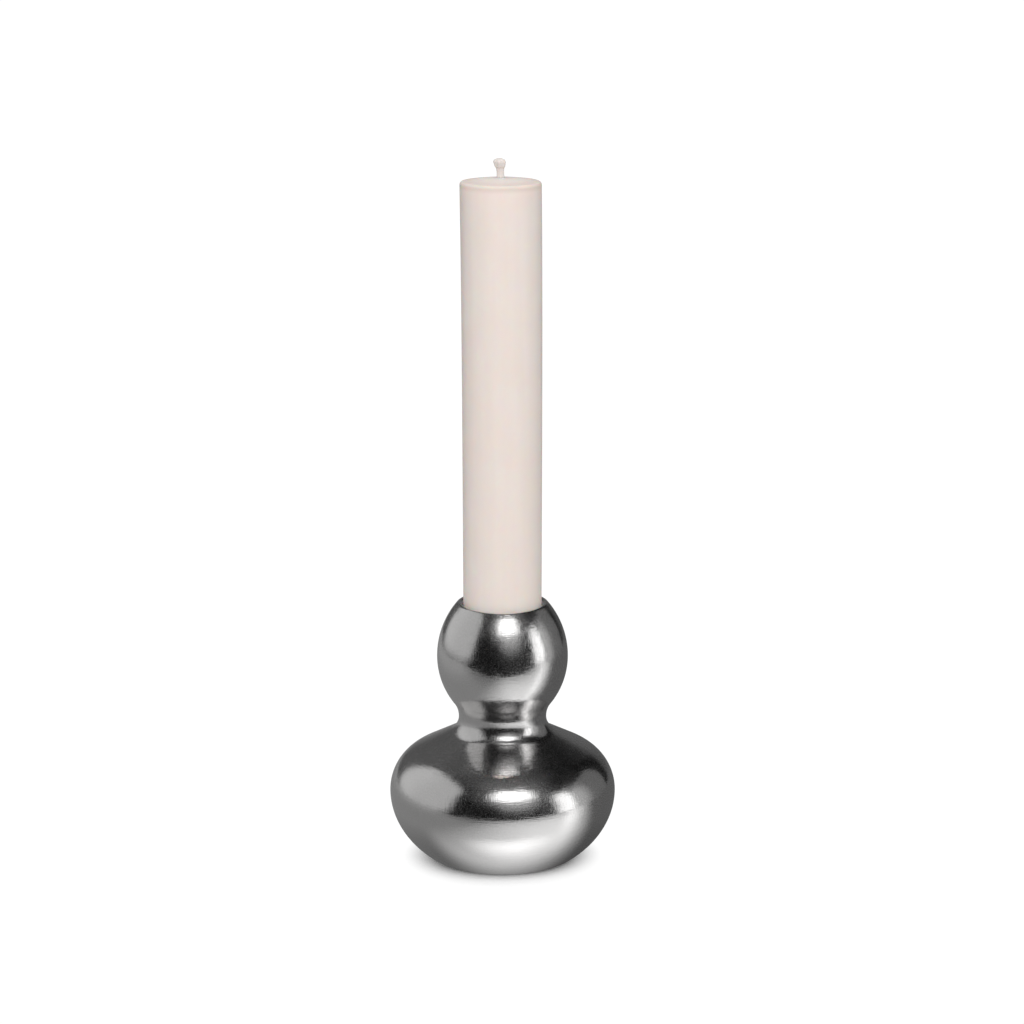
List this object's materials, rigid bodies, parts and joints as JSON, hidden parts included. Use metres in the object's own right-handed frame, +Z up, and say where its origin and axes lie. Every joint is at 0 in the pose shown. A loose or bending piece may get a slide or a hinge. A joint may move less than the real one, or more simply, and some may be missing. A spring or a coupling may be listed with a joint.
{
  "type": "candlestick",
  "caption": "Low weighted candlestick: a wide spun metal bulb, a narrow neck and a smaller ball with a rolled socket, holding a straight candle, its top rising a little to the wick, that lifts out.",
  "frame": {"origin": "centre of the felt's underside, where the candlestick stands", "axes": "+Z up along the turning axis of the holder and the candle"},
  "size_m": [0.1106, 0.1106, 0.3418],
  "materials": {
    "silver": "polished with very fine turning lines round the axis",
    "neck_ring": "turned",
    "fasteners": "zinc plated",
    "base_plate": "grey primer",
    "ballast": "cast cement",
    "felt": "felt",
    "wax": "smooth ivory wax with a soft sheen",
    "wick": "waxed cotton braid"
  },
  "bodies": {
    "holder": {"base_bulb_shell": "silver", "socket_ball_shell": "silver", "neck_ring": "neck_ring", "candle_cup": "silver", "cup_washer": "fasteners", "tie_bolt": "fasteners", "base_washer": "fasteners", "lock_washer": "fasteners", "base_nut": "fasteners", "base_plate": "base_plate", "ballast_weight": "ballast", "felt_pad": "felt"},
    "candle": {"candle_body": "wax", "candle_wick": "wick"}
  },
  "joints": [
    {"name": "candle_lift", "type": "slide", "parent": "holder", "child": "candle", "axis": [0, 0, 1], "range_m": [0, 0.04]}
  ]
}
